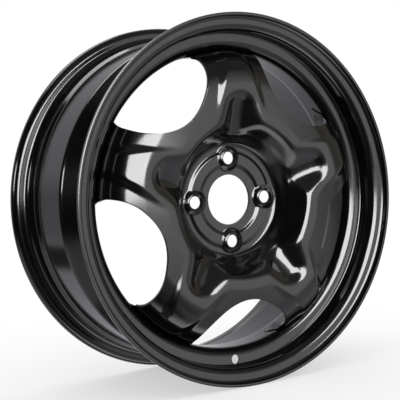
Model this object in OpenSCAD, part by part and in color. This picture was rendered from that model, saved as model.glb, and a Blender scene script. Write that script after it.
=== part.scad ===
// Pressed-steel car wheel, 16 inch, with a five-spoke disc and four bolt holes.
// The wheel stands upright. Its axle lies along Y, its outboard side faces -Y, one spoke points
// straight up, and the origin is the centre of the face that meets the hub.
// Depths are measured inboard from the outermost edge of the outboard flange.

/* [Rim] */
// Radius of the bead seat beside the flange
bead_r = 202.8; // [202:0.1:203.6]
// Width between the flanges
rim_w = 165.1; // [152:0.1:178]
// Height of the flanges above the bead seat
flange_h = 17.3; // [16.5:0.1:18]
// Overhang of each flange lip
lip_w = 10.2; // [9.8:0.1:11]
// Thickness of the rim sheet
rim_t = 3; // [2.6:0.1:3.2]
// Depth of the drop centre below the bead seat
well_drop = 21.3; // [20:0.1:23]
// Depth at which the drop centre begins
well_d = 45; // [44:0.5:48]
// Width of the drop centre's floor
well_w = 25; // [23:0.5:28]
// Height of the safety humps
hump_h = 1.1; // [0.6:0.1:1.4]
// Diameter of the valve hole
valve_hole_d = 11.3; // [10:0.1:12]
// Angle of the valve hole from the downward direction
valve_turn = -2; // [-4:0.5:4]

/* [Hub] */
// Distance from the rim's middle to the hub face
wheel_offset = 50; // [46:0.5:52]
// Diameter of the centre bore
bore_d = 60.1; // [56:0.1:64]
// Diameter of the bolt circle
bolt_pcd = 100; // [98:0.5:104]
// Number of bolt holes
bolt_count = 4; // [3:1:5]
// Diameter of the bolt holes
bolt_d = 15; // [13:0.1:16]
// Height of the bosses above the bolt circle
boss_h = 3; // [2.4:0.1:3.6]
// Thickness of the hub
hub_t = 4; // [3.8:0.1:4.4]
// Outer radius of the rings that touch the hub
pad_r = 67; // [65:0.5:69]
// Height of the bolt circle above those rings
pad_step = 2; // [1.5:0.1:2.4]

/* [Disc] */
// Depth of the crown
crown_d = 1.8; // [1.2:0.1:4]
// Radius at which the spokes begin to round over
crown_r = 134; // [130:0.5:140]
// Depth from the crown to where a spoke meets the rim
end_h = 34.5; // [31:0.5:36]
// Steepness of the bowl round the hub
bowl_fall = 1.6; // [1.5:0.01:1.7]
// Inner radius of the windows
win_r = 118; // [115:0.5:122]
// Radius at which the windows are widest
win_mid_r = 174; // [172:0.5:176]
// Half the angle that a window spans there
win_half = 22.2; // [20:0.1:24]
// Depth of the channel floor where it leaves the bowl
channel_d = 19.5; // [18:0.1:21]
// Steepness of the channel floor
channel_fall = 0.26; // [0.22:0.01:0.3]
// Radius at which the channel floor ends
channel_r = 112; // [108:0.5:115]
// Half width of the channel floor
channel_w = 7.5; // [6.5:0.1:8.5]
// Steepness of the channel's sides
channel_side = 0.85; // [0.75:0.01:0.95]
// Drop from the raised middle of a spoke to its margins
rib_h = 5.5; // [3:0.1:6.5]
// Radius at which the raised middle begins
rib_r = 105; // [100:0.5:112]
// Half width of the raised middle at the foot
rib_half = 13.7; // [12:0.1:16]
// Depth of the spoke feet's ends
foot_d = 55.5; // [54:0.5:58]
// Distance by which each side of a foot flares
foot_flare = 12.5; // [11:0.5:14]
// Depth over which it flares
flare_h = 15; // [13.5:0.5:16.5]

/* [Hidden] */
$fn = 180;
paint = "#1b1c1e";
fit = 0.05;
spokes = 5;
sector = 180/spokes;
total_w = rim_w + 2*lip_w;
hub_d = total_w/2 - wheel_offset;
pad_front = hub_d - hub_t;
foot_r = bead_r - well_drop - rim_t - fit;
sheet_t = hub_t - 0.4;
sheet_in = (hub_t - sheet_t)/2;
joint_r = pad_r + 6;
boss_rise = pad_step + boss_h;
boss_flare = 1.2;
seat_h = 2;
cut_past = 1;

// Plane geometry: a path with rounded corners and the section of a sheet that follows it

function unit(v) = v/norm(v);
function turned(v, a) = [v.x*cos(a) - v.y*sin(a), v.x*sin(a) + v.y*cos(a)];
function cross2(u, w) = u.x*w.y - u.y*w.x;
function flat(v) = [v.x, v.y];

// The points that round the corner b between a and c, from one tangent point to the other
function bend(a, b, c, steps) =
    let (u = unit(flat(a) - flat(b)))
    let (w = unit(flat(c) - flat(b)))
    let (half = acos(u*w)/2)
    let (centre = flat(b) + unit(u + w)*b.z/sin(half))
    let (from = flat(b) + u*b.z/tan(half) - centre)
    let (sweep = (180 - 2*half)*(cross2(u, w) > 0 ? -1 : 1))
    [for (i = [0:steps]) centre + turned(from, sweep*i/steps)];

// A path whose inner corners [x, y, radius] are rounded
function rounded(path, steps) = [
    flat(path[0]),
    for (i = [1:len(path) - 2]) each bend(path[i - 1], path[i], path[i + 1], steps),
    flat(path[len(path) - 1])
];

// A point of the path moved sideways by h, with both neighbouring edges kept parallel
function beside(p, i, h) =
    let (back = i > 0 ? unit(p[i] - p[i - 1]) : unit(p[i + 1] - p[i]))
    let (ahead = i < len(p) - 1 ? unit(p[i + 1] - p[i]) : back)
    let (mid = unit(back + ahead))
    p[i] + turned(mid, 90)*h/(mid*back);

// Half circle that closes the end p of a sheet, from the side at angle a
function cap(p, a, h, steps) = [for (i = [1:steps - 1]) p + turned([h, 0], a - 180*i/steps)];

function heading(v) = atan2(v.y, v.x);

// Section of a sheet of thickness t along the path p, with round ends
function sheet_section(p, t) =
    let (n = len(p))
    concat(
        [for (i = [0:n - 1]) beside(p, i, t/2)],
        cap(p[n - 1], heading(p[n - 1] - p[n - 2]) + 90, t/2, 6),
        [for (i = [n - 1:-1:0]) beside(p, i, -t/2)],
        cap(p[0], heading(p[0] - p[1]) + 90, t/2, 6)
    );

// Turns a section given as [radius, depth] into a ring round the axle
module ring(section, angle = 360) {
    rotate_extrude(angle = angle)
        polygon([for (p = section) [p.x, hub_d - p.y]]);
}

// Stands the wheel up: what is modelled outboard along Z then faces -Y
module upright() {
    rotate([90, 0, 0])
        children();
}

// Rim

rim_mid = rim_t/2;
lip_r = bead_r + flange_h - rim_mid;
seat_r = bead_r - rim_mid;
well_r = bead_r - well_drop - rim_mid;
ledge_r = bead_r - 3.5 - rim_mid;
wall_out = lip_w - rim_mid;
wall_in = total_w - wall_out;
seat_fall = tan(5);
lip_bend = lip_w - rim_t;

// Middle of the rim sheet from the outboard lip to the inboard lip: [radius, depth, bend radius]
rim_path = [
    [lip_r, rim_mid],
    [lip_r, wall_out, lip_bend - 0.05],
    [seat_r, wall_out, 6.5 + rim_mid],
    [seat_r - 16*seat_fall, wall_out + 16, 6],
    [seat_r - 16*seat_fall + hump_h, wall_out + 20, 3],
    [seat_r - 16*seat_fall + hump_h - 0.4, wall_out + 23.5, 4],
    [well_r, well_d, 11],
    [well_r, well_d + well_w, 12],
    [ledge_r, well_d + well_w + 21.5, 9],
    [ledge_r, wall_in - 28, 8],
    [seat_r - 16*seat_fall + hump_h, wall_in - 21, 5],
    [seat_r - 16*seat_fall, wall_in - 16, 6],
    [seat_r, wall_in, 6.5 + rim_mid],
    [lip_r, wall_in, lip_bend - 0.05],
    [lip_r, total_w - rim_mid]
];

// The valve hole stands square on the drop centre's outboard wall
wall_top = rim_path[5];
wall_foot = rim_path[6];
valve_at = flat(wall_top)*0.62 + flat(wall_foot)*0.38;
valve_lean = heading([wall_top.x - wall_foot.x, wall_foot.y - wall_top.y]);

module valve_hole() {
    rotate([0, 0, valve_turn - 90])
        translate([valve_at.x, 0, hub_d - valve_at.y])
            rotate([0, -valve_lean, 0])
                cylinder(d = valve_hole_d, h = 6*rim_t, center = true);
}

module rim_barrel() {
    color(paint)
        upright()
            difference() {
                ring(sheet_section(rounded(rim_path, 6), rim_t));
                valve_hole();
            }
}

// Disc: the depth of its outboard face at s along a spoke and t across it

function soft_ramp(x, w) = (x + sqrt(x*x + w*w))/2;
function deeper(a, b, k) = (a + b + sqrt((a - b)*(a - b) + k*k))/2;
function blend(x, a, b) =
    let (u = max(0, min(1, (x - a)/(b - a))))
    u*u*(3 - 2*u);

// The crown rounds over to the foot along a quarter of an oval
over_r = foot_r - crown_r;
function over(r) = max(0, min(1, (r - crown_r)/over_r));
function crown(r) = crown_d + end_h*(1 - sqrt(1 - pow(over(r), 2)));

function bowl(r) = pad_front - bowl_fall*(r - pad_r) + sheet_in*norm([1, bowl_fall]);

// A channel leaves the bowl where the two have the same depth
fold_r = pad_r + (bowl(pad_r) - channel_d)/bowl_fall;
function channel(s, t) =
    let (floor_d = channel_d - channel_fall*(s - fold_r))
    let (away = norm([t, max(0, s - channel_r)]))
    floor_d - channel_side*soft_ramp(away - channel_w, 3.5);

// The margins of a spoke drop away from its raised middle, further and softer towards the foot
rib_taper = 0.28;
function rib_drop(r) = rib_h*max(0, r - rib_r)/(foot_r - rib_r);
function rib_side(r, t) =
    let (edge_t = rib_half + rib_taper*(foot_r - r))
    let (step = 3 + 0.05*(r - rib_r))
    blend(abs(t), edge_t - step, edge_t + step);
function rib(r, t) = rib_drop(r)*rib_side(r, t);

function face_d(s, t) =
    let (r = norm([s, t]))
    let (soft = blend(r, joint_r, joint_r + 9))
    deeper(deeper(bowl(r), channel(s, t), 8*soft), crown(r) + rib(r, t), 4.5*soft);

// Point of the sheet and the direction its outboard face looks, both as [s, t, outboard]
function face_point(s, t) = [s, t, hub_d - face_d(s, t)];
function face_look(s, t) = unit([
    face_d(s + 0.4, t) - face_d(s - 0.4, t),
    face_d(s, t + 0.4) - face_d(s, t - 0.4),
    0.8
]);

// The sheet is a grid: rings from the bowl to the windows, then rows out along each spoke
ring_rows = 12;
spoke_rows = 9;
end_rows = 4;
flare_rows = 3;
foot_row = spoke_rows + end_rows;
out_rows = foot_row + flare_rows + 1;
half_cols = [0, 0.08, 0.155, 0.225, 0.295, 0.375, 0.49, 0.65, 0.83, 1];
cols = len(half_cols) - 1;
around = spokes*2*cols;
sheet_r = pad_r + 2;

function col_share(j) = sign(j)*half_cols[abs(j)];

// Radius and angle on one spoke at row i and column j, beside the oval edge of a window
function spoke_polar(i, j) =
    let (turn = 90*i/spoke_rows)
    let (edge_r = win_mid_r - (win_mid_r - win_r)*cos(turn))
    let (mid_r = win_r + (win_mid_r - win_r)*i/spoke_rows)
    let (share = abs(col_share(j)))
    [
        mid_r + (edge_r - mid_r)*share*share,
        (sector - win_half*sin(turn))*col_share(j)
    ];

// The foot flares along a quarter of an oval, which begins before the foot and ends 4 before its end
foot_start = face_d(foot_r, 0);
margin_start = foot_start + rib_h;
flare_d = foot_d - 4 - flare_h;
flare_lead = (margin_start - flare_d)/flare_h;
function flare(d) = foot_flare*(1 - sqrt(1 - pow(max(0, min(1, (d - flare_d)/flare_h)), 2)));
function foot_half(d) = sector - win_half + flare(d)/foot_r*180/PI;

// Front point and look of the sheet at row i, column j of a spoke
function spoke_vertex(i, j) =
    i <= spoke_rows ? fall_vertex(spoke_polar(i, j)) :
    i <= foot_row ? end_vertex((i - spoke_rows)/end_rows, j) :
    foot_vertex(i - foot_row, j);

function fall_vertex(q) =
    let (s = q[0]*cos(q[1]))
    let (t = q[0]*sin(q[1]))
    [face_point(s, t), face_look(s, t)];

// Where the spoke rounds over, the look is found from the oval, which ends upright
function end_vertex(way, j) =
    let (r = win_mid_r + (foot_r - win_mid_r)*sin(90*way))
    let (a = foot_half(crown(r) + rib_drop(r))*col_share(j))
    let (s = r*cos(a))
    let (t = r*sin(a))
    let (lean = sqrt(1 - pow(over(r), 2)))
    let (drop_s = (rib(norm([s + 0.4, t]), t) - rib(norm([s - 0.4, t]), t))/0.8)
    let (drop_t = (rib(r, t + 0.4) - rib(r, t - 0.4))/0.8)
    let (steep = end_h/over_r*over(r))
    [
        face_point(s, t),
        unit([steep*cos(a) + lean*drop_s, steep*sin(a) + lean*drop_t, lean])
    ];

// Rows down the foot: the flare first, then straight to the foot's end
function foot_vertex(i, j) =
    let (first = asin(flare_lead))
    let (turn = first + (90 - first)*min(1, i/flare_rows))
    let (margin_d = i > flare_rows ? foot_d : flare_d + flare_h*sin(turn))
    let (way = (margin_d - margin_start)/(foot_d - margin_start))
    let (a = foot_half(margin_d)*col_share(j))
    let (start = foot_start + rib(foot_r, foot_r*sin(a)))
    [
        [foot_r*cos(a), foot_r*sin(a), hub_d - start - (foot_d - start)*way],
        [cos(a), sin(a), 0]
    ];

function ring_vertex(i, j) =
    let (r = sheet_r + (win_r - sheet_r)*i/ring_rows)
    let (a = sector*col_share(j))
    [face_point(r*cos(a), r*sin(a)), face_look(r*cos(a), r*sin(a))];

function on_spoke(v, k) =
    let (a = 90 + 2*sector*k)
    [for (p = v) [p.x*cos(a) - p.y*sin(a), p.x*sin(a) + p.y*cos(a), p.z]];

sheet_vertices = concat(
    [for (i = [0:ring_rows], k = [0:spokes - 1], j = [-cols:cols - 1]) on_spoke(ring_vertex(i, j), k)],
    [for (k = [0:spokes - 1], i = [1:out_rows], j = [-cols:cols]) on_spoke(spoke_vertex(i, j), k)]
);
half_count = len(sheet_vertices);
ring_count = (ring_rows + 1)*around;

function ring_index(i, c) = i*around + (c + around) % around;
function spoke_index(k, i, j) =
    i == 0
        ? ring_index(ring_rows, k*2*cols + j + cols)
        : ring_count + (k*out_rows + i - 1)*(2*cols + 1) + j + cols;

// Two triangles for a four-sided patch, and the same patch on the back of the sheet
function patch(a, b, c, d, cut) = cut ? [[a, b, c], [a, c, d]] : [[a, b, d], [b, c, d]];
function on_back(faces) = [for (f = faces) [f[2] + half_count, f[1] + half_count, f[0] + half_count]];
function edge(a, b) = [[a, b, b + half_count], [a, b + half_count, a + half_count]];

sheet_front = [
    for (i = [0:ring_rows - 1], c = [0:around - 1])
        each patch(
            ring_index(i, c), ring_index(i, c + 1), ring_index(i + 1, c + 1), ring_index(i + 1, c),
            c % (2*cols) >= cols
        ),
    for (k = [0:spokes - 1], i = [0:out_rows - 1], j = [-cols:cols - 1])
        each patch(
            spoke_index(k, i, j), spoke_index(k, i, j + 1),
            spoke_index(k, i + 1, j + 1), spoke_index(k, i + 1, j),
            j >= 0
        )
];
sheet_edges = [
    for (c = [0:around - 1]) each edge(ring_index(0, c + 1), ring_index(0, c)),
    for (k = [0:spokes - 1], i = [0:out_rows - 1])
        each concat(
            edge(spoke_index(k, i, -cols), spoke_index(k, i + 1, -cols)),
            edge(spoke_index(k, i + 1, cols), spoke_index(k, i, cols))
        ),
    for (k = [0:spokes - 1], j = [-cols:cols - 1])
        each edge(spoke_index(k, out_rows, j), spoke_index(k, out_rows, j + 1))
];

module pressed_sheet() {
    polyhedron(
        points = concat(
            [for (v = sheet_vertices) v[0]],
            [for (v = sheet_vertices) v[0] - sheet_t*v[1]]
        ),
        faces = concat(sheet_front, on_back(sheet_front), sheet_edges)
    );
}

// Hub: a ring round the bore, the raised bolt circle, an outer ring and the start of the bowl
bowl_len = norm([1, bowl_fall]);
pad_mid = hub_d - hub_t/2;
bolt_mid = pad_mid - pad_step;
bowl_foot_r = pad_r + (hub_t/2*bowl_len - hub_t/2)/bowl_fall;
hub_path = [
    [bore_d/2 - 2, pad_mid],
    [bolt_pcd/2 - 10, pad_mid, 3],
    [bolt_pcd/2 - 6.5, bolt_mid, 3],
    [pad_r - 11, bolt_mid, 3],
    [pad_r - 8, pad_mid, 3],
    [bowl_foot_r, pad_mid, 4],
    [bowl_foot_r + 5.4, pad_mid - 5.4*bowl_fall]
];

// Cone of a bolt boss on the level base: it starts under that level and ends at the radius top_r
module boss_cone(top_r, base) {
    translate([0, 0, base - 1])
        cylinder(r1 = top_r + boss_flare*(boss_rise + 1), r2 = top_r, h = boss_rise + 1);
}

module at_bolts() {
    for (i = [0:bolt_count - 1])
        rotate([0, 0, 90 + 360*i/bolt_count])
            translate([bolt_pcd/2, 0, 0])
                children();
}

module hub() {
    difference() {
        union() {
            ring(sheet_section(rounded(hub_path, 3), hub_t));
            at_bolts()
                boss_cone(bolt_d/2 + 2.5, hub_t);
        }
        translate([0, 0, -cut_past])
            cylinder(d = bore_d, h = hub_t + 2*cut_past);
        at_bolts() {
            boss_cone(bolt_d/2 + 0.7, 0);
            translate([0, 0, -cut_past])
                cylinder(d = bolt_d, h = hub_t + boss_rise + 2*cut_past);
            translate([0, 0, hub_t + boss_rise - seat_h])
                cylinder(d1 = bolt_d, d2 = bolt_d + 2*seat_h, h = 1.6*seat_h);
        }
    }
}

module wheel_disc() {
    color(paint)
        upright()
            union() {
                hub();
                pressed_sheet();
            }
}

// Welds: one fillet bead along the end of each spoke's foot
weld_half = 13;
weld_leg = 4;

function weld_section() = concat(
    [[foot_r, foot_d]],
    [for (i = [0:6]) [foot_r - weld_leg*0.9*sin(15*i), foot_d + weld_leg*cos(15*i)]]
);

module disc_welds() {
    color(paint)
        upright()
            for (k = [0:spokes - 1])
                rotate([0, 0, 90 + 2*sector*k - weld_half])
                    ring(weld_section(), 2*weld_half);
}

rim_barrel();
wheel_disc();
disc_welds();
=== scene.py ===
"""Gloss black pressed-steel wheel, standing upright on a white studio floor.

The rim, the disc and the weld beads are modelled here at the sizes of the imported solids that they
stand for, apart from the slope of the drop centre's outboard wall and the flare of the feet. Sizes
are in millimetres and turned into metres where a mesh is made. Angles are in degrees where nothing
else is said. Depths are measured inboard from the outermost edge of the outboard flange, as on a
drawing of the wheel.
"""

from __future__ import annotations

import logging
import math
from dataclasses import dataclass
from enum import Enum
from typing import Callable, Iterable, Sequence

import bpy
from mathutils import Matrix, Vector

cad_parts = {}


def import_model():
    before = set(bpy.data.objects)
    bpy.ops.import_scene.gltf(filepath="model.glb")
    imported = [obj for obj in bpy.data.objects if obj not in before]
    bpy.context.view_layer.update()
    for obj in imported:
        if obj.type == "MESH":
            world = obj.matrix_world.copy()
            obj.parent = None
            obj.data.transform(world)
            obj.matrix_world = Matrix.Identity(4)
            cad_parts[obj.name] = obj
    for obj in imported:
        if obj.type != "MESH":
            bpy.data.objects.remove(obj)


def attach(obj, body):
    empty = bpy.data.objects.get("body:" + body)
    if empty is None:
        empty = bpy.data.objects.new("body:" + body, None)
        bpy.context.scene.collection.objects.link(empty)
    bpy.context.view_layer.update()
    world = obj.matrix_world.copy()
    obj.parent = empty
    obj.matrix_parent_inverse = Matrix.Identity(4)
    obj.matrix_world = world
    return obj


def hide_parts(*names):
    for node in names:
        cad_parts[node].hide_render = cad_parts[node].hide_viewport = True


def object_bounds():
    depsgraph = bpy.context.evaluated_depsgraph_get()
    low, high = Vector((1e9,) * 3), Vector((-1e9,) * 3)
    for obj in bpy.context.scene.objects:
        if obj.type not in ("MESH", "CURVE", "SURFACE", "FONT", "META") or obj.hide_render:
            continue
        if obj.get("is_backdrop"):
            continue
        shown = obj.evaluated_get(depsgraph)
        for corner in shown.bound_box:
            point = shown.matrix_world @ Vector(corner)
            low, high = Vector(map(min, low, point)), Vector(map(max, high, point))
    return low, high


LOG = logging.getLogger("wheel")
MM = 0.001
BODY = "root"
SEAM = 0.01 * MM
DRILL_SIDES = 48
BEVEL_STEPS = 3
WHITE = (1.0, 1.0, 1.0, 1.0)

Piece = bpy.types.Object
Corner = tuple[float, float, float]


class Shading(Enum):
    """How far apart two faces may lean and still shade as one smooth surface."""

    PRESSED = 35.0
    BEAD = 60.0


# Small mesh operations, done as by hand


class Bench:
    """The operators that every piece is shaped with."""

    @staticmethod
    def clear() -> None:
        """Leave edit mode and deselect everything."""
        if bpy.context.object and bpy.context.object.mode != "OBJECT":
            bpy.ops.object.mode_set(mode="OBJECT")
        bpy.ops.object.select_all(action="DESELECT")

    @staticmethod
    def take(piece: Piece) -> None:
        """Make one piece the only selected and the active object."""
        Bench.clear()
        piece.select_set(True)
        bpy.context.view_layer.objects.active = piece

    @staticmethod
    def named(name: str) -> Piece:
        """Name the active object and its mesh, and return it."""
        piece = bpy.context.object
        piece.name = name
        piece.data.name = name
        return piece

    @staticmethod
    def pick(piece: Piece, test: Callable[[Vector], bool]) -> None:
        """Select the vertices that pass a test, and stay in edit mode.

        Args:
            piece: The object that is edited.
            test: Says whether a vertex at this place is picked.
        """
        bpy.ops.object.mode_set(mode="EDIT")
        bpy.ops.mesh.select_mode(type="VERT")
        bpy.ops.mesh.select_all(action="DESELECT")
        bpy.ops.object.mode_set(mode="OBJECT")
        for vertex in piece.data.vertices:
            vertex.select = test(vertex.co)
        bpy.ops.object.mode_set(mode="EDIT")

    @staticmethod
    def on_all(piece: Piece, operator: Callable[..., set], **settings: object) -> None:
        """Run an operator on the whole mesh of a piece.

        Args:
            piece: The object that is edited.
            operator: The mesh operator.
            settings: Its settings, by their names.
        """
        Bench.take(piece)
        bpy.ops.object.mode_set(mode="EDIT")
        bpy.ops.mesh.select_all(action="SELECT")
        operator(**settings)
        bpy.ops.object.mode_set(mode="OBJECT")

    @staticmethod
    def close_up(piece: Piece) -> None:
        """Close a piece's seams and turn its faces one way, outwards where it is a closed shell."""
        Bench.on_all(piece, bpy.ops.mesh.remove_doubles, threshold=SEAM)
        Bench.on_all(piece, bpy.ops.mesh.normals_make_consistent, inside=False)

    @staticmethod
    def apply(piece: Piece, kind: str, **settings: object) -> None:
        """Add a modifier, set it and apply it.

        Args:
            piece: The object that gets the modifier.
            kind: The modifier's type.
            settings: Its settings, by their names.
        """
        Bench.take(piece)
        modifier = piece.modifiers.new(kind.lower(), kind)
        for key, value in settings.items():
            setattr(modifier, key, value)
        bpy.ops.object.modifier_apply(modifier=modifier.name)

    @staticmethod
    def cut(piece: Piece, tool: Piece) -> None:
        """Cut one object out of a piece and throw the tool away."""
        Bench.apply(piece, "BOOLEAN", operation="DIFFERENCE", solver="EXACT", object=tool)
        bpy.data.objects.remove(tool)

    @staticmethod
    def bevel(piece: Piece, width: float, least: float) -> None:
        """Round the edges of a piece.

        Args:
            piece: The object that is edited.
            width: Width of the rounding.
            least: Angle from which an edge is rounded.
        """
        Bench.apply(
            piece,
            "BEVEL",
            width=width * MM,
            segments=BEVEL_STEPS,
            limit_method="ANGLE",
            angle_limit=math.radians(least),
        )

    @staticmethod
    def smooth(piece: Piece, shading: Shading) -> None:
        """Shade a piece smooth, with sharp edges where its faces lean further apart."""
        Bench.take(piece)
        bpy.ops.object.shade_smooth_by_angle(angle=math.radians(shading.value))


class Ease:
    """Curves that lead smoothly from one level to another."""

    @staticmethod
    def blend(x: float, start: float, end: float) -> float:
        """Return 0 before start, 1 after end and a smooth step between them."""
        u = max(0.0, min(1.0, (x - start) / (end - start)))
        return u * u * (3 - 2 * u)

    @staticmethod
    def ramp(x: float, width: float) -> float:
        """Return 0 below zero and x above it, with a soft knee of that width."""
        return (x + math.sqrt(x * x + width * width)) / 2

    @staticmethod
    def deeper(a: float, b: float, knee: float) -> float:
        """Return the larger of two depths, with a soft change from one to the other."""
        return (a + b + math.sqrt((a - b) ** 2 + knee * knee)) / 2


# Shader nodes


@dataclass(frozen=True)
class Wire:
    """A socket that takes part in sums, so that shader maths reads as an expression.

    Attributes:
        graph: The graph that it is in.
        socket: The socket.
    """

    graph: Graph
    socket: bpy.types.NodeSocket

    # Numbers of a Mix node's sockets for colours, which share their names with those for numbers
    MIX_SHARE, MIX_NONE, MIX_FULL = 0, 6, 7
    MIX_RESULT = 2

    def _math(self, operation: str, *values: object) -> Wire:
        """Add one Math node.

        Args:
            operation: The node's operation.
            values: Its inputs, in order.

        Returns:
            The node's result.
        """
        inputs = dict(enumerate(values))
        return self.graph.add("ShaderNodeMath", {"operation": operation}, inputs).out("Value")

    def __add__(self, other: object) -> Wire:
        """Return self + other."""
        return self._math("ADD", self, other)

    __radd__ = __add__

    def __sub__(self, other: object) -> Wire:
        """Return self - other."""
        return self._math("SUBTRACT", self, other)

    def __rsub__(self, other: object) -> Wire:
        """Return other - self."""
        return self._math("SUBTRACT", other, self)

    def __mul__(self, other: object) -> Wire:
        """Return self * other."""
        return self._math("MULTIPLY", self, other)

    __rmul__ = __mul__

    def __abs__(self) -> Wire:
        """Return the size of self without its sign."""
        return self._math("ABSOLUTE", self)

    def angle_to(self, other: Wire) -> Wire:
        """Return the angle whose sine and cosine are self and other."""
        return self._math("ARCTAN2", self, other)

    def arcsine(self) -> Wire:
        """Return the angle whose sine is self."""
        return self._math("ARCSINE", self)

    def either(self, other: object) -> Wire:
        """Return the larger of self and other."""
        return self._math("MAXIMUM", self, other)

    def step(self, start: float, end: float) -> Wire:
        """Return a smooth step from 0 at start to 1 at end."""
        settings = {"interpolation_type": "SMOOTHSTEP"}
        inputs = {"Value": self, "From Min": start, "From Max": end}
        return self.graph.add("ShaderNodeMapRange", settings, inputs).out("Result")

    def colour(self, none: object, full: object) -> Wire:
        """Return a colour that goes from none where self is 0 to full where it is 1."""
        inputs = {self.MIX_SHARE: self, self.MIX_NONE: none, self.MIX_FULL: full}
        return self.graph.add("ShaderNodeMix", {"data_type": "RGBA"}, inputs).out(self.MIX_RESULT)


@dataclass(frozen=True)
class Node:
    """A node that gives its outputs as wires.

    Attributes:
        graph: The graph that it is in.
        node: The node.
    """

    graph: Graph
    node: bpy.types.Node

    def out(self, name: str | int) -> Wire:
        """Return the output with that name or number."""
        return Wire(self.graph, self.node.outputs[name])


class Graph:
    """The node tree of one material or of the world."""

    def __init__(self, tree: bpy.types.NodeTree) -> None:
        """Start from an empty tree."""
        self.tree = tree
        tree.nodes.clear()

    def add(self, kind: str, settings: dict | None = None, inputs: dict | None = None) -> Node:
        """Add a node.

        Args:
            kind: The node's type.
            settings: Its own settings, which are set first. A ramp's stops are pairs of place
                and colour.
            inputs: A value or a wire for each socket, by name or number.

        Returns:
            The new node.
        """
        node = self.tree.nodes.new(kind)
        for key, value in (settings or {}).items():
            if key == "stops":
                self._set_stops(node.color_ramp, value)
            else:
                setattr(node, key, value)
        for key, value in (inputs or {}).items():
            if isinstance(value, Wire):
                self.tree.links.new(value.socket, node.inputs[key])
            else:
                node.inputs[key].default_value = value
        return Node(self, node)

    @staticmethod
    def _set_stops(ramp: bpy.types.ColorRamp, stops: Sequence[tuple[float, tuple]]) -> None:
        """Give a colour ramp its stops."""
        while len(ramp.elements) < len(stops):
            ramp.elements.new(1.0)
        for element, (place, colour) in zip(ramp.elements, stops):
            element.position = place
            element.color = colour


# Finishes


@dataclass(frozen=True)
class GlossPaint:
    """Black stoving paint: a hard gloss over steel, with a fine orange peel.

    Attributes:
        name: The material's name.
        colour: The paint's colour.
        fade: How much lighter the paint is where the coat flowed out less.
        roughness: Roughness where the coat flowed out well.
        haze: Further roughness where it flowed out less.
        flow_size: Width of the areas that flowed out more or less.
        peel_size: Width of one cell of the orange peel.
        peel_depth: Height of the orange peel.
    """

    name: str = "gloss_black_paint"
    colour: tuple[float, float, float] = (0.003, 0.003, 0.0034)
    fade: float = 1.5
    roughness: float = 0.12
    haze: float = 0.05
    flow_size: float = 60.0
    peel_size: float = 5.0
    peel_depth: float = 0.002

    def material(self) -> bpy.types.Material:
        """Build the material.

        Returns:
            The material, ready to be put on a piece.
        """
        material = bpy.data.materials.new(self.name)
        material.use_nodes = True
        graph = Graph(material.node_tree)
        place = graph.add("ShaderNodeTexCoord").out("Object")
        scale = 1 / (self.flow_size * MM)
        areas = {"Vector": place, "Scale": scale, "Detail": 3.0, "Roughness": 0.6}
        flow = graph.add("ShaderNodeTexNoise", inputs=areas).out("Fac")
        cells = {"Vector": place, "Scale": 1 / (self.peel_size * MM), "Detail": 1.0}
        peel = graph.add("ShaderNodeTexNoise", inputs=cells).out("Fac")
        faded = tuple(self.fade * part for part in self.colour)
        stops = [(0.3, (*self.colour, 1.0)), (0.75, (*faded, 1.0))]
        tint = graph.add("ShaderNodeValToRGB", {"stops": stops}, {"Fac": flow}).out("Color")
        depth = {"Height": peel, "Strength": 1.0, "Distance": self.peel_depth * MM}
        bump = graph.add("ShaderNodeBump", inputs=depth).out("Normal")
        shader = graph.add(
            "ShaderNodeBsdfPrincipled",
            inputs={
                "Base Color": tint,
                "Roughness": flow.step(0.35, 0.75) * self.haze + self.roughness,
                "Normal": bump,
                "IOR": 1.5,
            },
        ).out("BSDF")
        graph.add("ShaderNodeOutputMaterial", inputs={"Surface": shader})
        return material


# The wheel


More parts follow.
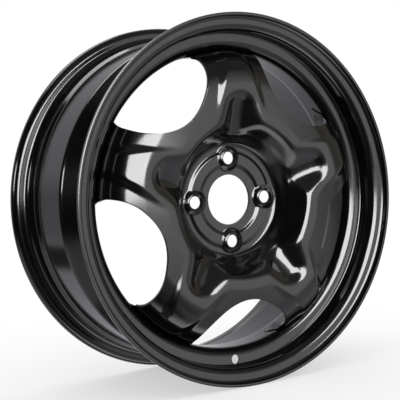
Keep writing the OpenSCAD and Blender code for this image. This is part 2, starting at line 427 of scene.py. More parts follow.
@dataclass
class RimBarrel:
    """The rolled rim: both flanges, the bead seats, the humps, the drop centre and the valve hole.

    Attributes:
        bead_r: Radius of the bead seat beside the flange.
        rim_w: Width between the flanges.
        flange_h: Height of the flanges above the bead seat.
        flange_bend: Inner radius of the bend from a flange to its bead seat.
        lip_w: Overhang of each flange lip.
        sheet_t: Thickness of the rim sheet.
        seat_w: Width of the bead seats.
        seat_slope: Slope of the bead seats.
        well_drop: Depth of the drop centre below the bead seat.
        well_d: Depth at which the drop centre's floor begins.
        well_w: Width of the drop centre's floor.
        rise_w: Width of the drop centre's inboard slope.
        ledge_drop: Depth of the flat inboard of that slope below the bead seat.
        hump_h: Height of the safety humps.
        valve_hole_d: Diameter of the valve hole.
        valve_turn: Angle of the valve hole from the downward direction.
        valve_place: How far down the drop centre's outboard wall it is, from 0 to 1.
        wheel_offset: Distance from the rim's middle to the hub face.
        turns: Number of facets round the axle.
    """

    bead_r: float = 202.8
    rim_w: float = 165.1
    flange_h: float = 17.235
    flange_bend: float = 6.5
    lip_w: float = 10.2
    sheet_t: float = 3.0
    seat_w: float = 16.0
    seat_slope: float = 5.0
    well_drop: float = 21.3
    well_d: float = 34.5
    well_w: float = 35.5
    rise_w: float = 21.5
    ledge_drop: float = 3.5
    hump_h: float = 1.1
    valve_hole_d: float = 11.3
    valve_turn: float = -2.0
    valve_place: float = 0.38
    wheel_offset: float = 50.0
    turns: int = 240

    # The drop centre's outboard wall in the list of corners, and the steps of a rounded corner
    WALL = slice(5, 7)
    LEAST_STEPS = 4
    STEP_ANGLE = 6.0

    @property
    def total_w(self) -> float:
        """Width over both lips."""
        return self.rim_w + 2 * self.lip_w

    @property
    def hub_d(self) -> float:
        """Depth of the hub face."""
        return self.total_w / 2 - self.wheel_offset

    @property
    def well_r(self) -> float:
        """Radius of the middle of the sheet in the drop centre."""
        return self.bead_r - self.well_drop - self.sheet_t / 2

    def corners(self) -> list[Corner]:
        """List the corners of the sheet's middle from the outboard lip to the inboard lip.

        Returns:
            Radius, depth and bend radius of each corner.
        """
        half = self.sheet_t / 2
        lip_r = self.bead_r + self.flange_h - half
        seat_r = self.bead_r - half
        foot_r = seat_r - self.seat_w * math.tan(math.radians(self.seat_slope))
        hump_r = foot_r + self.hump_h
        ledge_r = seat_r - self.ledge_drop
        out_d = self.lip_w - half
        in_d = self.total_w - out_d
        out_foot = out_d + self.seat_w
        in_foot = in_d - self.seat_w
        lip_bend = self.lip_w - self.sheet_t - 0.05
        seat_bend = self.flange_bend + half
        well_end = self.well_d + self.well_w
        return [
            (lip_r, 0.0, 0.0),
            (lip_r, out_d, lip_bend),
            (seat_r, out_d, seat_bend),
            (foot_r, out_foot, 6.0),
            (hump_r, out_foot + 4, 3.0),
            (hump_r - 0.4, out_foot + 7.5, 4.0),
            (self.well_r, self.well_d, 11.0),
            (self.well_r, well_end, 12.0),
            (ledge_r, well_end + self.rise_w, 9.0),
            (ledge_r, in_foot - 12, 8.0),
            (hump_r, in_foot - 5, 5.0),
            (foot_r, in_foot, 6.0),
            (seat_r, in_d, seat_bend),
            (lip_r, in_d, lip_bend),
            (lip_r, self.total_w, 0.0),
        ]

    def build(self) -> Piece:
        """Model the rim.

        Returns:
            The finished piece.
        """
        corners = self.corners()
        piece = self._profile(corners)
        for before, corner, after in zip(corners, corners[1:], corners[2:]):
            self._round_corner(piece, before, corner, after)
        Bench.pick(piece, lambda place: True)
        bpy.ops.mesh.spin(steps=self.turns, angle=math.tau, center=(0, 0, 0), axis=(0, 1, 0))
        bpy.ops.object.mode_set(mode="OBJECT")
        Bench.close_up(piece)
        thickness = self.sheet_t * MM
        Bench.apply(piece, "SOLIDIFY", thickness=thickness, offset=0.0, use_even_offset=True)
        Bench.cut(piece, self._valve_drill(corners))
        Bench.bevel(piece, width=0.42 * self.sheet_t, least=60)
        Bench.smooth(piece, Shading.PRESSED)
        return piece

    def _at(self, radius: float, depth: float) -> Vector:
        """Return a point of the profile, which lies in the plane of X and Y."""
        return Vector((radius, depth - self.hub_d, 0)) * MM

    def _profile(self, corners: Sequence[Corner]) -> Piece:
        """Draw the sheet's middle as a chain of edges.

        Args:
            corners: Radius, depth and bend radius of each corner.

        Returns:
            The object that holds the chain.
        """
        Bench.clear()
        bpy.ops.mesh.primitive_plane_add(size=MM, location=(0, 0, 0))
        piece = Bench.named("painted_rim")
        bpy.ops.object.mode_set(mode="EDIT")
        bpy.ops.mesh.merge(type="CENTER")
        places = [self._at(radius, depth) for radius, depth, _ in corners]
        bpy.ops.transform.translate(value=places[0])
        for here, there in zip(places, places[1:]):
            bpy.ops.mesh.extrude_region_move(TRANSFORM_OT_translate={"value": there - here})
        bpy.ops.object.mode_set(mode="OBJECT")
        return piece

    def _round_corner(self, piece: Piece, before: Corner, corner: Corner, after: Corner) -> None:
        """Round one corner of the profile.

        Args:
            piece: The object that holds the profile.
            before: The corner before it.
            corner: The corner that is rounded.
            after: The corner after it.
        """
        place = self._at(*corner[:2])
        turn = (place - self._at(*before[:2])).angle(self._at(*after[:2]) - place)
        Bench.pick(piece, lambda vertex: (vertex - place).length < 2 * SEAM)
        bpy.ops.mesh.bevel(
            affect="VERTICES",
            offset=corner[2] * math.tan(turn / 2) * MM,
            segments=max(self.LEAST_STEPS, round(math.degrees(turn) / self.STEP_ANGLE)),
            profile=0.5,
        )
        bpy.ops.object.mode_set(mode="OBJECT")

    def _valve_drill(self, corners: Sequence[Corner]) -> Piece:
        """Make the drill for the valve hole, square on the drop centre's outboard wall.

        Args:
            corners: The profile's corners.

        Returns:
            The drill, in place.
        """
        top, foot = (self._at(*corner[:2]) for corner in corners[self.WALL])
        middle = top * (1 - self.valve_place) + foot * self.valve_place
        wall = foot - top
        across = Vector((-wall.y, wall.x, 0)).normalized()
        spin = Matrix.Rotation(math.radians(90 - self.valve_turn), 3, "Y")
        Bench.clear()
        bpy.ops.mesh.primitive_cylinder_add(
            vertices=DRILL_SIDES,
            radius=self.valve_hole_d / 2 * MM,
            depth=6 * self.sheet_t * MM,
            location=spin @ middle,
            rotation=(spin @ across).to_track_quat("Z", "Y").to_euler(),
        )
        return Bench.named("valve_drill")


@dataclass
class WheelDisc:
    """The pressed disc: hub, bolt bosses, bowl, star of channels, crown, spokes, windows and feet.

    Attributes:
        rim: The rim that the disc stands in.
        bore_d: Diameter of the centre bore.
        bolt_pcd: Diameter of the bolt circle.
        bolt_count: Number of bolt holes.
        bolt_d: Diameter of the bolt holes.
        seat_h: Depth of the bolt holes' conical seats.
        boss_h: Height of the bosses above the bolt circle.
        boss_top: Radius of a boss at its top.
        boss_foot: Radius of a boss at its foot.
        sheet_t: Thickness of the disc.
        thin_share: Share of that thickness at the corners of the feet.
        pad_r: Outer radius of the rings that touch the hub.
        pad_step: Height of the bolt circle above those rings.
        crown_d: Depth of the crown.
        crown_r: Radius at which the spokes begin to round over.
        end_h: Depth from the crown to where a spoke meets the rim.
        bowl_fall: Steepness of the bowl round the hub.
        bowl_knee: Roundness where the bowl meets a channel.
        crown_knee: Roundness where bowl and channels meet the crown.
        win_r: Inner radius of the windows.
        win_mid_r: Radius at which the windows are widest.
        win_half: Half the angle that a window spans there.
        channel_d: Depth of the channel floor where it leaves the bowl.
        channel_fall: Steepness of the channel floor.
        channel_r: Radius at which the channel floor ends.
        channel_w: Half width of the channel floor.
        channel_side: Steepness of the channel's sides.
        channel_knee: Roundness where the channel's floor meets its sides.
        rib_h: Drop from the raised middle of a spoke to its margins.
        rib_r: Radius at which the raised middle begins.
        rib_half: Half width of the raised middle at the foot.
        rib_taper: How fast the raised middle widens towards the hub.
        rib_edge: Half width of the raised middle's slopes where it begins.
        rib_spread: How fast those slopes widen outwards.
        foot_d: Depth of the spoke feet's ends.
        foot_gap: Gap between a foot and the rim.
        foot_end: Depth of the straight end of a foot.
        foot_flare: Distance by which each side of a foot flares.
        flare_h: Depth over which it flares.
        flare_power: Fullness of the flare's curve, where 2 is a quarter of an oval.
        spokes: Number of spokes.
        ring_rows: Rows of faces from the bore to the windows.
        spoke_rows: Rows of faces along a spoke.
        end_rows: Rows of faces where a spoke rounds over.
        flare_rows: Rows of faces along a foot's flare.
        foot_rows: Rows of faces along the rest of a foot.
        columns: Faces across one spoke.
    """

    rim: RimBarrel
    bore_d: float = 60.1
    bolt_pcd: float = 100.0
    bolt_count: int = 4
    bolt_d: float = 15.0
    seat_h: float = 2.0
    boss_h: float = 3.0
    boss_top: float = 9.5
    boss_foot: float = 17.0
    sheet_t: float = 4.0
    thin_share: float = 0.3
    pad_r: float = 67.0
    pad_step: float = 2.0
    crown_d: float = 1.8
    crown_r: float = 134.0
    end_h: float = 34.5
    bowl_fall: float = 1.6
    bowl_knee: float = 8.0
    crown_knee: float = 4.5
    win_r: float = 118.0
    win_mid_r: float = 174.0
    win_half: float = 22.2
    channel_d: float = 19.5
    channel_fall: float = 0.26
    channel_r: float = 112.0
    channel_w: float = 7.5
    channel_side: float = 0.85
    channel_knee: float = 3.5
    rib_h: float = 5.5
    rib_r: float = 105.0
    rib_half: float = 13.7
    rib_taper: float = 0.28
    rib_edge: float = 3.0
    rib_spread: float = 0.05
    foot_d: float = 55.5
    foot_gap: float = 0.05
    foot_end: float = 4.0
    foot_flare: float = 13.5
    flare_h: float = 27.0
    flare_power: float = 1.5
    spokes: int = 5
    ring_rows: int = 64
    spoke_rows: int = 38
    end_rows: int = 16
    flare_rows: int = 8
    foot_rows: int = 3
    columns: int = 48

    # Where the hub rises inside the bolt circle, and falls again inside its outer ring
    RISE = (10.5, 6.0)
    FALL = (11.5, 7.5)
    # Start and roundness of the bowl outside that ring, and where its upper edges get their own
    BOWL_GAP, BOWL_BEND = 0.6, 2.5
    EDGES = (6.0, 15.0)
    # Angles past a spoke's edge, in radians, between which a foot gets thinner
    THINNED = (-0.03, 0.04)

    @property
    def pad_front(self) -> float:
        """Depth of the outboard side of the rings that touch the hub."""
        return self.rim.hub_d - self.sheet_t

    @property
    def sector(self) -> float:
        """Half the angle from one spoke to the next."""
        return 180 / self.spokes

    @property
    def foot_r(self) -> float:
        """Radius of the feet's outer side, which lies in the drop centre."""
        return self.rim.well_r - self.rim.sheet_t / 2 - self.foot_gap

    @property
    def fold_r(self) -> float:
        """Radius at which a channel leaves the bowl."""
        return self.pad_r + (self.pad_front - self.channel_d) / self.bowl_fall

    @property
    def foot_start(self) -> float:
        """Depth at which the middle of a spoke meets the rim."""
        return self.crown_d + self.end_h

    @property
    def margin_start(self) -> float:
        """Depth at which a spoke's margins meet the rim."""
        return self.foot_start + self.rib_h

    @property
    def rows(self) -> int:
        """All rows of faces from the bore to a foot's end."""
        return self.ring_rows + self.spoke_rows + self.end_rows + self.flare_rows + self.foot_rows

    def bolt_places(self) -> list[tuple[float, float]]:
        """Return the centre of each bolt hole, seen from outboard."""
        step = math.tau / self.bolt_count
        angles = [math.pi / 2 + step * i for i in range(self.bolt_count)]
        return [(self.bolt_pcd / 2 * math.cos(a), self.bolt_pcd / 2 * math.sin(a)) for a in angles]

    def crown(self, r: float) -> float:
        """Return the depth of a spoke's middle, which rounds over along a quarter of an oval."""
        over = max(0.0, min(1.0, (r - self.crown_r) / (self.foot_r - self.crown_r)))
        return self.crown_d + self.end_h * (1 - math.sqrt(1 - over * over))

    def channel(self, along: float, across: float) -> float:
        """Return the depth of a spoke's channel."""
        floor = self.channel_d - self.channel_fall * (along - self.fold_r)
        away = math.hypot(across, max(0.0, along - self.channel_r))
        return floor - self.channel_side * Ease.ramp(away - self.channel_w, self.channel_knee)

    def rib_drop(self, r: float) -> float:
        """Return how far a spoke's margins lie below its middle at a radius."""
        return self.rib_h * max(0.0, r - self.rib_r) / (self.foot_r - self.rib_r)

    def rib(self, r: float, across: float) -> float:
        """Return how far a point of a spoke lies below its raised middle."""
        edge = self.rib_half + self.rib_taper * (self.foot_r - r)
        step = self.rib_edge + self.rib_spread * (r - self.rib_r)
        return self.rib_drop(r) * Ease.blend(abs(across), edge - step, edge + step)

    def hub_front(self, r: float) -> float:
        """Return the depth of the hub's rings and of the bowl at a radius."""
        up = Ease.blend(r, *(self.bolt_pcd / 2 - inside for inside in self.RISE))
        down = Ease.blend(r, *(self.pad_r - inside for inside in self.FALL))
        ring = self.pad_front - self.pad_step * (up - down)
        return ring - self.bowl_fall * Ease.ramp(r - self.pad_r - self.BOWL_GAP, self.BOWL_BEND)

    def pressed_depth(self, along: float, across: float, angle: float) -> float:
        """Return the depth of the disc's outboard side.

        Args:
            along: Distance from the axle along the spoke.
            across: Distance from the spoke's middle line.
            angle: Direction of that spoke, in radians.

        Returns:
            The depth below the outboard flange's edge.
        """
        r = math.hypot(along, across)
        depth = self.hub_front(r)
        if r < self.pad_r + 2:
            return self._with_bosses(depth, along, across, angle)
        soft = Ease.blend(r, *(self.pad_r + outside for outside in self.EDGES))
        depth = Ease.deeper(depth, self.channel(along, across), self.bowl_knee * soft)
        return Ease.deeper(depth, self.crown(r) + self.rib(r, across), self.crown_knee * soft)

    def _with_bosses(self, depth: float, along: float, across: float, angle: float) -> float:
        """Raise the hub's depth by the bosses round the bolt holes."""
        x = along * math.cos(angle) - across * math.sin(angle)
        y = along * math.sin(angle) + across * math.cos(angle)
        away = min(math.hypot(x - px, y - py) for px, py in self.bolt_places())
        top = self.pad_front - self.pad_step - self.boss_h
        boss = top + (self.pad_step + self.boss_h) * Ease.blend(away, self.boss_top, self.boss_foot)
        return -Ease.deeper(-depth, -boss, 0.6)

    def point(self, row: int, column: int, angle: float) -> Vector:
        """Return a point of the disc's outboard side, in the wheel's frame.

        Args:
            row: Row of the grid, from the bore outwards.
            column: Column of the grid, from one side of the spoke to the other.
            angle: Direction of the spoke, in radians.

        Returns:
            The point in metres.
        """
        share = 2 * column / self.columns - 1
        below = row - self.ring_rows - self.spoke_rows - self.end_rows
        if below > 0:
            r, turn, depth = self._foot(below, share)
        else:
            r, turn = self._face(row, share)
            depth = self.pressed_depth(r * math.cos(turn), r * math.sin(turn), angle)
        x = r * math.cos(angle + turn)
        z = r * math.sin(angle + turn)
        return Vector((x, depth - self.rim.hub_d, z)) * MM

    def _face(self, row: int, share: float) -> tuple[float, float]:
        """Return a place on the ring, on a spoke beside the windows' oval edges, or on its end.

        Args:
            row: Row of the grid, from the bore outwards.
            share: How far across the spoke, from -1 to 1.

        Returns:
            The radius, and the angle from the spoke's middle in radians.
        """
        out = row - self.ring_rows
        if out <= 0:
            r = self.bore_d / 2 + (self.win_r - self.bore_d / 2) * row / self.ring_rows
            return r, math.radians(self.sector * share)
        if out > self.spoke_rows:
            turn = math.pi / 2 * ((out - self.spoke_rows) / self.end_rows)
            r = self.win_mid_r + (self.foot_r - self.win_mid_r) * math.sin(turn)
            return r, self._foot_half(self.crown(r) + self.rib_drop(r)) * share
        way = out / self.spoke_rows
        turn = math.pi / 2 * way
        edge_r = self.win_mid_r - (self.win_mid_r - self.win_r) * math.cos(turn)
        mid_r = self.win_r + (self.win_mid_r - self.win_r) * way
        half = self.sector - self.win_half * math.sin(turn)
        return mid_r + (edge_r - mid_r) * share * share, math.radians(half * share)

    def _foot(self, row: int, share: float) -> tuple[float, float, float]:
        """Return a point of a foot, first along its flare and then straight to its end.

        Args:
            row: Row of the grid below the foot's start.
            share: How far across the foot, from -1 to 1.

        Returns:
            The radius, the angle from the spoke's middle in radians, and the depth.
        """
        first = math.asin((self.margin_start - self._flare_start()) / self.flare_h)
        turn = first + (math.pi / 2 - first) * min(1.0, row / self.flare_rows)
        margin = self._flare_start() + self.flare_h * math.sin(turn)
        margin += (self.foot_d - margin) * max(0, row - self.flare_rows) / self.foot_rows
        way = (margin - self.margin_start) / (self.foot_d - self.margin_start)
        angle = self._foot_half(margin) * share
        start = self.foot_start + self.rib(self.foot_r, self.foot_r * math.sin(angle))
        return self.foot_r, angle, start + (self.foot_d - start) * way

    def _flare_start(self) -> float:
        """Return the depth at which a spoke's margins begin to flare."""
        return self.foot_d - self.foot_end - self.flare_h

    def _foot_half(self, depth: float) -> float:
        """Return half the angle that a spoke's end spans at a depth of its margins, in radians."""
        share = max(0.0, min(1.0, (depth - self._flare_start()) / self.flare_h))
        flare = self.foot_flare * (1 - (1 - share**self.flare_power) ** (1 / self.flare_power))
        return math.radians(self.sector - self.win_half) + flare / self.foot_r

    def build(self) -> Piece:
        """Model the disc.

        Returns:
            The finished piece.
        """
        angles = [math.pi / 2 + math.tau * i / self.spokes for i in range(self.spokes)]
        parts = [self._pressed_spoke(angle) for angle in angles]
        Bench.clear()
        for part in parts:
            part.select_set(True)
        bpy.context.view_layer.objects.active = parts[0]
        bpy.ops.object.join()
        piece = Bench.named("painted_disc")
        Bench.close_up(piece)
        if sum(face.normal.y * face.area for face in piece.data.polygons) > 0:
            Bench.on_all(piece, bpy.ops.mesh.flip_normals)
        full = piece.vertex_groups.new(name="full_thickness")
        for vertex in piece.data.vertices:
            full.add([vertex.index], self._thickness(vertex.co), "REPLACE")
        Bench.apply(
            piece,
            "SOLIDIFY",
            thickness=self.sheet_t * MM,
            offset=-1.0,
            use_even_offset=True,
            vertex_group=full.name,
            thickness_vertex_group=self.thin_share,
        )
        piece.vertex_groups.clear()
        for place in self.bolt_places():
            Bench.cut(piece, self._bolt_drill(place))
        Bench.bevel(piece, width=0.6, least=50)
        Bench.smooth(piece, Shading.PRESSED)
        return piece

    def _pressed_spoke(self, angle: float) -> Piece:
        """Press one fifth of the flat blank into shape.

        Args:
            angle: Direction of the spoke, in radians.

        Returns:
            The pressed sheet, still without thickness.
        """
        Bench.clear()
        bpy.ops.mesh.primitive_grid_add(
            x_subdivisions=self.columns, y_subdivisions=self.rows, size=2.0
        )
        piece = Bench.named("spoke_blank")
        for vertex in piece.data.vertices:
            column = round((vertex.co.x + 1) / 2 * self.columns)
            row = round((vertex.co.y + 1) / 2 * self.rows)
            vertex.co = self.point(row, column, angle)
        return piece

    def _thickness(self, place: Vector) -> float:
        """Return 1 where the sheet keeps its thickness, falling to 0 at the corners of the feet."""
        if math.hypot(place.x, place.z) < (self.foot_r - 0.5) * MM:
            return 1.0
        away = abs(math.remainder(math.atan2(place.x, place.z), math.tau / self.spokes))
        half = math.radians(self.sector - self.win_half)
        return 1 - Ease.blend(away, *(half + past for past in self.THINNED))

    def _bolt_drill(self, place: tuple[float, float]) -> Piece:
        """Make the drill for a bolt hole and its conical seat.

        Args:
            place: The hole's centre, seen from outboard.

        Returns:
            The drill, in place.
        """
        length = 40.0
        cone_h = 1.6 * self.seat_h
        boss_front = self.pad_front - self.pad_step - self.boss_h - self.rim.hub_d
        Bench.clear()
        bpy.ops.mesh.primitive_cylinder_add(
            vertices=DRILL_SIDES,
            radius=self.bolt_d / 2 * MM,
            depth=length * MM,
            location=Vector((place[0], boss_front + self.seat_h + length / 2, place[1])) * MM,
            rotation=(math.pi / 2, 0, 0),
        )
        drill = Bench.named("bolt_drill")
        # The drill is turned so that its own +Z points outboard
        Bench.pick(drill, lambda vertex: vertex.z > 0)
        bpy.ops.mesh.extrude_region_move(TRANSFORM_OT_translate={"value": (0, -cone_h * MM, 0)})
        bpy.ops.transform.resize(value=(1 + 2 * cone_h / self.bolt_d,) * 3)
        bpy.ops.object.mode_set(mode="OBJECT")
        return drill


@dataclass
class WeldBeads:
    """The arc-weld beads along the ends of the spokes' feet.

    Attributes:
        disc: The disc whose feet are welded.
        half: Half the angle that a bead spans.
        width: Width of a bead along the axle.
        height: Height of a bead above the rim.
        ripple: Height of the ripples.
        ripples: Number of ripples along a bead.
        steps: Faces along a bead.
    """

    disc: WheelDisc
    half: float = 13.0
    width: float = 4.0
    height: float = 3.6
    ripple: float = 0.35
    ripples: int = 22
    steps: int = 132

    @property
    def middle(self) -> Vector:
        """Radius of a bead's middle, and its distance inboard from the hub face."""
        depth = self.disc.foot_d + self.width / 2
        return Vector((self.disc.foot_r - self.height / 2, depth - self.disc.rim.hub_d))

    def build(self) -> list[Piece]:
        """Model one bead and copy it to every foot.

        Returns:
            The finished beads.
        """
        first = self._bead()
        beads = []
        for i in range(self.disc.spokes):
            bead = first.copy()
            bead.data = first.data.copy()
            bpy.context.scene.collection.objects.link(bead)
            bead.name = f"painted_weld_{i + 1}"
            bead.data.name = bead.name
            bead.data.transform(Matrix.Rotation(-math.tau * i / self.disc.spokes, 4, "Y"))
            beads.append(bead)
        bpy.data.objects.remove(first)
        return beads

    def _bead(self) -> Piece:
        """Model the bead at the top of the wheel."""
        fullness = 0.8
        middle = self.middle
        Bench.clear()
        bpy.ops.mesh.primitive_circle_add(vertices=20, radius=1.0, fill_type="NGON")
        bead = Bench.named("painted_weld")
        for vertex in bead.data.vertices:
            up = math.copysign(abs(vertex.co.x) ** fullness, vertex.co.x) * self.height / 2
            vertex.co = Vector((middle.x + up, middle.y + vertex.co.y * self.width / 2, 0)) * MM
        Bench.take(bead)
        bead.data.transform(Matrix.Rotation(math.radians(self.half - 90), 4, "Y"))
        Bench.pick(bead, lambda place: True)
        bpy.ops.mesh.spin(
            steps=self.steps, angle=math.radians(2 * self.half), center=(0, 0, 0), axis=(0, 1, 0)
        )
        bpy.ops.object.mode_set(mode="OBJECT")
        Bench.close_up(bead)
        self._raise_ripples(bead)
        Bench.smooth(bead, Shading.BEAD)
        return bead

    def _raise_ripples(self, bead: Piece) -> None:
        """Give the bead its ripples and draw in its ends."""
        middle = self.middle
        for vertex in bead.data.vertices:
            angle = math.degrees(math.atan2(vertex.co.x, vertex.co.z))
            r = math.hypot(vertex.co.x, vertex.co.z) / MM
            out = Vector((r, vertex.co.y / MM)) - middle
            end = math.sqrt(max(0.0, 1 - (angle / (self.half + 0.3)) ** 8))
            wave = self.ripple * math.sin(math.pi * self.ripples * angle / self.half + out.y)
            place = middle + out * end + out.normalized() * wave * 0.5 * end
            vertex.co.x *= place.x / r
            vertex.co.z *= place.x / r
            vertex.co.y = place.y * MM


# The studio

WARM = (1.0, 0.9, 0.74)
COOL = (0.94, 0.95, 1.0)


def grey(level: float) -> tuple[float, ...]:
    """Return a grey of that brightness, where 1 is white."""
    return (level, level, level, 1.0)


def direction(azimuth: float, elevation: float) -> Vector:
    """Return the direction at an azimuth from the outboard side to the right, and an elevation."""
    a = math.radians(azimuth)
    e = math.radians(elevation)
    return Vector((math.sin(a) * math.cos(e), -math.cos(a) * math.cos(e), math.sin(e)))


@dataclass(frozen=True)
class Panel:
    """A part of the room that gloss paint mirrors.

    Attributes:
        azimuth: Direction of its middle, from the wheel's outboard side towards the right.
        half: Half the angle that it spans sideways.
        low: Elevation of its lower edge.
        high: Elevation of its upper edge.
        level: Brightness, where 1 is white.
        soft: Half the angle over which its edges fade.
        tint: Its colour at a brightness of 1.
    """

    azimuth: float
    half: float
    low: float
    high: float
    level: float
    soft: float = 4.0
    tint: tuple[float, float, float] = (1.0, 1.0, 1.0)

    @property
    def colour(self) -> tuple[float, ...]:
        """Its colour at its own brightness."""
        return tuple(self.level * part for part in self.tint) + (1.0,)


@dataclass(frozen=True)
class Softbox:
    """A flat lamp that shows as a bright patch in gloss paint.

    Attributes:
        name: The lamp's name.
        azimuth: Direction of its middle, from the wheel's outboard side towards the right.
        elevation: Elevation of its middle.
        width: Angle that it spans sideways.
        height: Angle that it spans upwards.
        level: Brightness, where 1 is white.
        distance: Distance from the wheel in metres.
    """

    name: str
    azimuth: float
    elevation: float
    width: float
    height: float
    level: float
    distance: float = 3.0

    def build(self) -> None:
        """Hang the lamp, facing the wheel."""
        light = bpy.data.lights.new(self.name, "AREA")
        light.shape = "RECTANGLE"
        light.size = 2 * self.distance * math.tan(math.radians(self.width / 2))
        light.size_y = 2 * self.distance * math.tan(math.radians(self.height / 2))
        light.energy = math.pi * light.size * light.size_y * self.level
        lamp = bpy.data.objects.new(self.name, light)
        bpy.context.scene.collection.objects.link(lamp)
        towards = direction(self.azimuth, self.elevation)
        lamp.location = towards * self.distance
        lamp.rotation_euler = towards.to_track_quat("Z", "Y").to_euler()
        lamp.visible_camera = False
        lamp.visible_diffuse = False


@dataclass
class Studio:
    """White floor, white surroundings and soft lamps.

    Attributes:
        floor_z: Height of the floor in metres.
        floor_size: Width of the floor in metres.
        floor_shade: Lightness of the floor, which carries the shadow.
        floor_lift: Light that the camera sees on top of it, so that the floor is white.
        room: Brightness of what is not a panel, as gloss paint mirrors it.
        ambient: Even light on everything, where 1 shows a colour as it is written.
        panels: Parts of the room that gloss paint mirrors, each over those before it.
        softboxes: The lamps.
    """

    floor_z: float
    floor_size: float = 30.0
    floor_shade: float = 0.5
    floor_lift: float = 0.52
    room: float = 0.215
    ambient: float = 1.0
    panels: tuple[Panel, ...] = (
        # The dark left of the room
        Panel(azimuth=-85, half=50, low=-30, high=60, level=0.01, soft=10),
        # The pale floor in front of the wheel and to its right
        Panel(azimuth=0, half=70, low=-95, high=-58, level=2.8, soft=12),
        Panel(azimuth=55, half=45, low=-58, high=0, level=0.8, soft=5, tint=COOL),
        # A warm wall on the right
        Panel(azimuth=72, half=30, low=0, high=34, level=0.42, soft=3, tint=WARM),
        # A dim gap in front, and beside it a glow that fades upwards
        Panel(azimuth=12, half=10, low=-32, high=-9, level=0.35, soft=6),
        Panel(azimuth=29, half=14, low=-12, high=32, level=0.75, soft=5),
        Panel(azimuth=29, half=14, low=-12, high=20, level=1.2, soft=5),
        Panel(azimuth=29, half=14, low=-12, high=9, level=1.9, soft=5),
        # The pale backdrop, dimmer to the left, and the floor below it
        Panel(azimuth=180, half=40, low=-60, high=62, level=0.78, soft=8, tint=COOL),
        Panel(azimuth=-160, half=30, low=-15, high=6, level=0.48, soft=5, tint=COOL),
        Panel(azimuth=-115, half=38, low=-56, high=-20, level=0.8, soft=6, tint=COOL),
        # Dark gaps at the backdrop's foot and in the floor in front
        Panel(azimuth=-158, half=9, low=-22.4, high=-15.4, level=0.06, soft=1.2),
        Panel(azimuth=-24, half=16, low=-56, high=-10, level=0.06, soft=6),
    )
    softboxes: tuple[Softbox, ...] = (
        Softbox("front_softbox", azimuth=-5, elevation=12, width=50, height=27, level=18),
        Softbox("left_softbox", azimuth=-93, elevation=13, width=13, height=12, level=16),
        Softbox("back_softbox", azimuth=-165, elevation=57, width=40, height=14, level=4),
    )

    def build(self) -> None:
        """Lay the floor, hang the lamps and set the surroundings."""
        self._floor()
        self._surroundings()
        for softbox in self.softboxes:
            softbox.build()

    def _floor(self) -> None:
        """Lay the floor under the wheel."""
        Bench.clear()
        bpy.ops.mesh.primitive_plane_add(size=self.floor_size, location=(0, 0, self.floor_z))
        floor = Bench.named("studio_floor")
        material = bpy.data.materials.new("floor_white")
        material.use_nodes = True
        graph = Graph(material.node_tree)
        seen = graph.add("ShaderNodeLightPath").out("Is Camera Ray")
        shade = {"Color": grey(self.floor_shade)}
        matt = graph.add("ShaderNodeBsdfDiffuse", inputs=shade).out("BSDF")
        glow = {"Color": WHITE, "Strength": seen * self.floor_lift}
        lift = graph.add("ShaderNodeEmission", inputs=glow).out("Emission")
        both = graph.add("ShaderNodeAddShader", inputs={0: matt, 1: lift}).out("Shader")
        graph.add("ShaderNodeOutputMaterial", inputs={"Surface": both})
        floor.data.materials.append(material)
        floor.visible_glossy = False
        floor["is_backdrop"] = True

    def _surroundings(self) -> None:
        """Make the background white, and give gloss paint a room to mirror."""
        world = bpy.data.worlds.new("studio")
        bpy.context.scene.world = world
        world.use_nodes = True
        graph = Graph(world.node_tree)
        view = graph.add("ShaderNodeTexCoord").out("Generated")
        parts = graph.add("ShaderNodeSeparateXYZ", inputs={"Vector": view})
        room = self._mirrored_room(parts.out("X"), parts.out("Y"), parts.out("Z"))
        path = graph.add("ShaderNodeLightPath")
        seen = path.out("Is Camera Ray")
        mirrored = path.out("Is Glossy Ray").either(path.out("Is Transmission Ray"))
        light = seen.colour(mirrored.colour(grey(self.ambient), room), WHITE)
        shader = graph.add("ShaderNodeBackground", inputs={"Color": light, "Strength": 1.0})
        graph.add("ShaderNodeOutputWorld", inputs={"Surface": shader.out("Background")})

    def _mirrored_room(self, x: Wire, y: Wire, z: Wire) -> Wire:
        """Work out the colour of the room in a direction.

        Args:
            x: The direction's part to the right.
            y: The direction's part inboard.
            z: The direction's part upwards.

        Returns:
            The colour.
        """
        elevation = z.arcsine()
        colour: Wire | tuple[float, ...] = grey(self.room)
        for panel in self.panels:
            a = math.radians(panel.azimuth)
            beside = x * math.cos(a) + y * math.sin(a)
            ahead = x * math.sin(a) - y * math.cos(a)
            angles = (panel.half, panel.low, panel.high, panel.soft)
            half, low, high, soft = (math.radians(angle) for angle in angles)
            inside = 1 - abs(beside.angle_to(ahead)).step(half - soft, half + soft)
            inside = inside * elevation.step(low - soft, low + soft)
            inside = inside * (1 - elevation.step(high - soft, high + soft))
            colour = inside.colour(colour, panel.colour)
        return colour


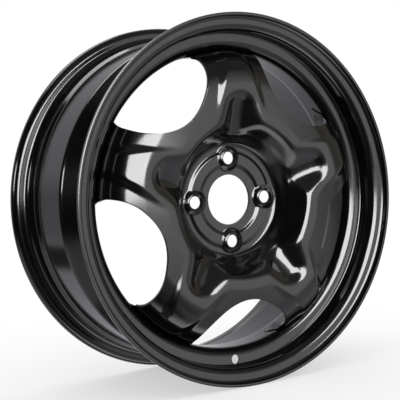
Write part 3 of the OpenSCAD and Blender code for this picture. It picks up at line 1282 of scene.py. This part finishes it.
@dataclass
class PhotoCamera:
    """The camera, a long lens at about the height of the wheel's middle.

    Attributes:
        azimuth: Direction from which it looks, from the wheel's outboard side towards the right.
        elevation: Elevation from which it looks.
        roll: Angle by which it leans to its right.
        aim: The point in the middle of the picture.
        distance: Distance from that point.
        lens: Focal length.
        sensor: Width of the sensor.
        nearest: Distance in metres from which the camera sees.
    """

    azimuth: float = -32.11
    elevation: float = 3.19
    roll: float = 2.96
    aim: tuple[float, float, float] = (-29.4, 14.9, 1.2)
    distance: float = 1350.0
    lens: float = 100.89
    sensor: float = 36.0
    nearest: float = 0.05

    def build(self) -> None:
        """Set the camera up and look through it."""
        data = bpy.data.cameras.new("photo_camera")
        data.lens = self.lens
        data.sensor_fit = "HORIZONTAL"
        data.sensor_width = self.sensor
        data.clip_start = self.nearest
        camera = bpy.data.objects.new("photo_camera", data)
        bpy.context.scene.collection.objects.link(camera)
        back = direction(self.azimuth, self.elevation)
        level = back.to_track_quat("Z", "Y").to_matrix()
        turned = level @ Matrix.Rotation(math.radians(-self.roll), 3, "Z")
        place = Vector(self.aim) * MM + back * self.distance * MM
        camera.matrix_world = Matrix.Translation(place) @ turned.to_4x4()
        bpy.context.scene.camera = camera


def dress(piece: Piece, material: bpy.types.Material) -> None:
    """Give a piece its finish and fix it to the wheel.

    Args:
        piece: The piece.
        material: Its finish.
    """
    piece.data.materials.clear()
    piece.data.materials.append(material)
    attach(piece, BODY)
    LOG.info("%s: %d faces", piece.name, len(piece.data.polygons))


def box_rows(box: Iterable[Iterable[float]]) -> list[list[float]]:
    """Return a box's corners as plain lists of numbers."""
    return [[round(float(value), 6) for value in corner] for corner in box]


def main() -> None:
    """Build the wheel, the studio and the camera."""
    logging.basicConfig(level=logging.INFO, format="%(name)s: %(message)s")
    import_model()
    cad_box = box_rows(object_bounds())
    bpy.context.scene.view_settings.view_transform = "Standard"
    PhotoCamera().build()
    paint = GlossPaint().material()
    weld_paint = GlossPaint(name="weld_paint", roughness=0.16, peel_size=1.2, peel_depth=0.02)
    bead_paint = weld_paint.material()
    rim = RimBarrel()
    disc = WheelDisc(rim)
    welds = WeldBeads(disc)
    rim_piece = rim.build()
    dress(rim_piece, paint)
    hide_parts("rim_barrel")
    disc_piece = disc.build()
    dress(disc_piece, paint)
    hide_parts("wheel_disc")
    for bead in welds.build():
        dress(bead, bead_paint)
        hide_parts("disc_welds")
    Studio(floor_z=cad_box[0][2]).build()


if __name__ == "__main__":
    main()
